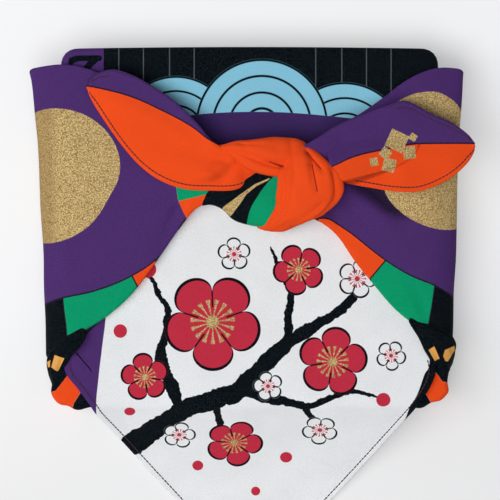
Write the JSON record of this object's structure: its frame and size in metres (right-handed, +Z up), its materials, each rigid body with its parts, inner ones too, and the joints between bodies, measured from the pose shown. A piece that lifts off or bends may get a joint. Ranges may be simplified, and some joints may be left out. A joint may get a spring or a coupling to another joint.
{
  "type": "furoshiki wrap",
  "caption": "Square printed cotton cloth folded round a flat box-shaped space and tied on top in a square knot, with a long pointed flap lying in front.",
  "frame": {"origin": "middle of the flat underside of the wrapped bundle, on the surface that it rests on", "axes": "+X to the right as the knot is read, +Y away from the pointed flap, +Z up"},
  "size_m": [0.2892, 0.3482, 0.0683],
  "materials": {
    "printed_cotton": "matte plain-weave cotton, printed in purple, orange, green, black and gold on white"
  },
  "bodies": {
    "root": {"cloth": "printed_cotton"}
  },
  "joints": []
}
